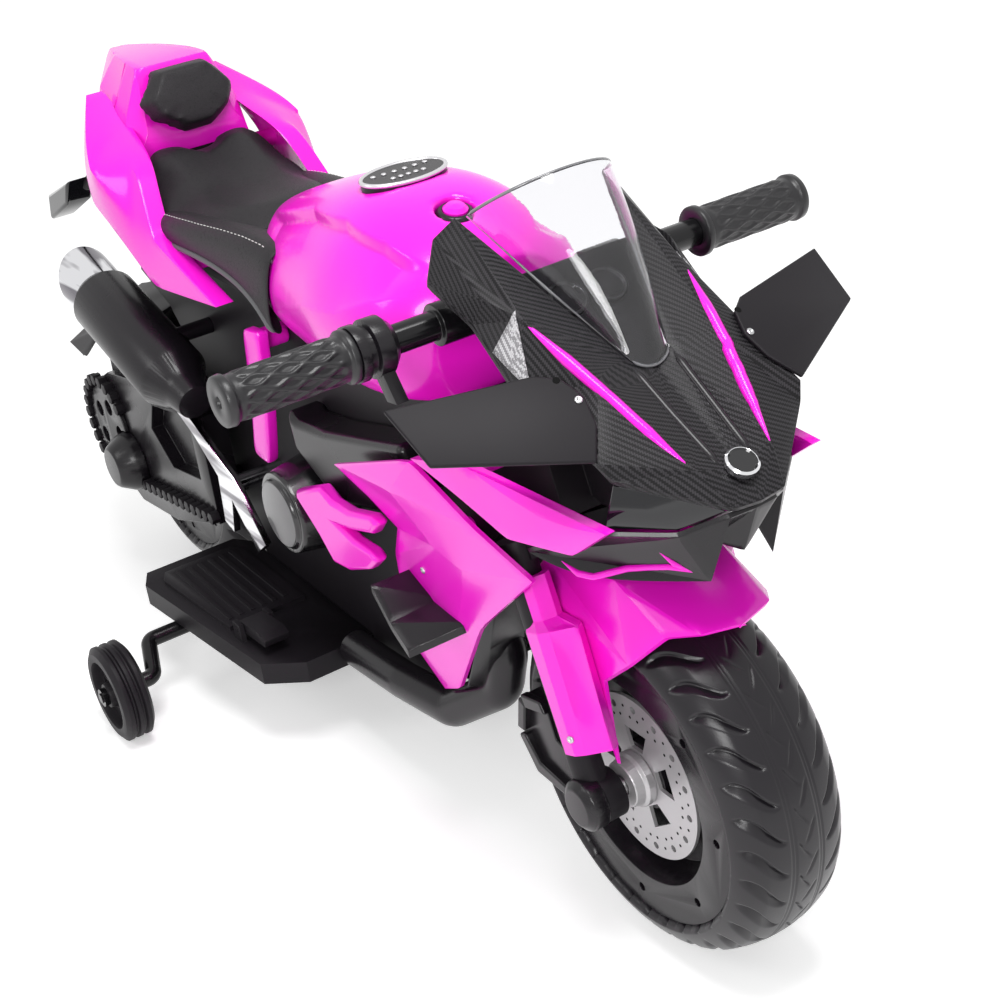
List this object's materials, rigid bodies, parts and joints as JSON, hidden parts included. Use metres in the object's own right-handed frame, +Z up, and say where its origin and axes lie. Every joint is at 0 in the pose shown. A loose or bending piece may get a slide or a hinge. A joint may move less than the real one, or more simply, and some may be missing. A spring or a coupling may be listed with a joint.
{
  "type": "kids electric motorbike",
  "caption": "Battery ride-on motorbike in race style for a small child, with folded fairings, a steered front wheel, foot boards, training wheels and a twist throttle.",
  "frame": {"origin": "on the ground, midway between the two axles, in the centre plane", "axes": "+X forward, +Y to the rider's left, +Z up"},
  "size_m": [1.144, 0.5394, 0.61],
  "materials": {
    "pink_gloss": "glossy hot pink moulded plastic",
    "black_matte": "matte black moulded plastic",
    "black_satin": "satin black moulded plastic",
    "carbon": "carbon-look printed plastic",
    "clear": "clear plastic screen",
    "lens": "silver-grey lens plastic",
    "chrome": "bright plated plastic",
    "steel": "plain steel",
    "black_steel": "black painted steel tube",
    "tyre": "moulded black tyre",
    "grip": "black rubber grip",
    "seat": "black leather-look cover with light stitching",
    "disc": "grey moulded disc"
  },
  "bodies": {
    "frame": {"chassis_right": "black_matte", "chassis_left": "black_matte", "battery": "black_matte", "motor_gearbox": "black_matte", "belly_tubes": "black_satin", "tank_cover": "pink_gloss", "tank_panel": "black_satin", "button_ring": "black_satin", "seat_cushion": "seat", "seat_base": "black_matte", "tail_cover": "pink_gloss", "tail_pods": "pink_gloss", "back_pad": "seat", "rear_hugger": "black_matte", "indicators": "black_matte", "side_fairing_right": "pink_gloss", "side_fairing_left": "pink_gloss", "upper_blades": "pink_gloss", "canards": "black_satin", "ducts": "black_matte", "nose_cowl": "carbon", "jaw": "black_satin", "headlights": "lens", "winglets": "black_satin", "emblem": "chrome", "windscreen": "clear", "dash_tray": "black_matte", "engine_covers": "black_satin", "engine_swooshes": "pink_gloss", "frame_struts": "pink_gloss", "heel_brackets": "chrome", "swingarms": "black_satin", "axle_covers": "black_satin", "drive_chains": "black_matte", "sprockets": "lens", "muffler": "black_satin", "muffler_tip": "chrome", "rear_axle": "steel", "foot_board_right": "black_matte", "foot_board_left": "black_matte", "training_arms": "black_steel"},
    "steering": {"steering_fork": "black_matte", "fork_covers": "pink_gloss", "handlebar": "black_steel", "grip_left": "grip", "throttle_housing": "black_satin", "front_fender": "pink_gloss", "front_axle": "steel", "front_axle_caps": "black_satin", "calipers": "black_satin"},
    "throttle": {"throttle_grip": "grip"},
    "front_wheel": {"front_tyre": "tyre", "front_rim": "black_satin", "brake_discs": "disc"},
    "rear_wheel": {"rear_tyre": "tyre", "rear_rim": "black_satin"},
    "training_right": {"training_wheel_right": "black_matte"},
    "training_left": {"training_wheel_left": "black_matte"},
    "pedal": {"pedal": "black_matte"},
    "button": {"push_button": "pink_gloss"}
  },
  "joints": [
    {"name": "steering_turn", "type": "hinge", "parent": "frame", "child": "steering", "pos_m": [0.422, 0, 0.15], "axis": [-0.342, 0, 0.9397], "range_deg": [-20, 20]},
    {"name": "front_wheel_spin", "type": "hinge", "parent": "steering", "child": "front_wheel", "pos_m": [0.422, 0, 0.15], "axis": [0, 1, 0], "continuous": true},
    {"name": "rear_wheel_spin", "type": "hinge", "parent": "frame", "child": "rear_wheel", "pos_m": [-0.422, 0, 0.15], "axis": [0, 1, 0], "continuous": true},
    {"name": "training_right_spin", "type": "hinge", "parent": "frame", "child": "training_right", "pos_m": [-0.151, -0.248, 0.049], "axis": [0, 1, 0], "continuous": true},
    {"name": "training_left_spin", "type": "hinge", "parent": "frame", "child": "training_left", "pos_m": [-0.151, 0.248, 0.049], "axis": [0, 1, 0], "continuous": true},
    {"name": "throttle_twist", "type": "hinge", "parent": "steering", "child": "throttle", "pos_m": [0.29408, -0.2, 0.50145], "axis": [0, -1, 0], "range_deg": [0, 60], "stiffness_Nm_per_rad": 0.3},
    {"name": "pedal_press", "type": "hinge", "parent": "frame", "child": "pedal", "pos_m": [-0.072, -0.1285, 0.109], "axis": [0, 1, 0], "range_deg": [0, 8], "stiffness_Nm_per_rad": 2},
    {"name": "button_press", "type": "slide", "parent": "frame", "child": "button", "axis": [-0.2419, 0, -0.9703], "range_m": [0, 0.0027], "stiffness_N_per_m": 400}
  ]
}
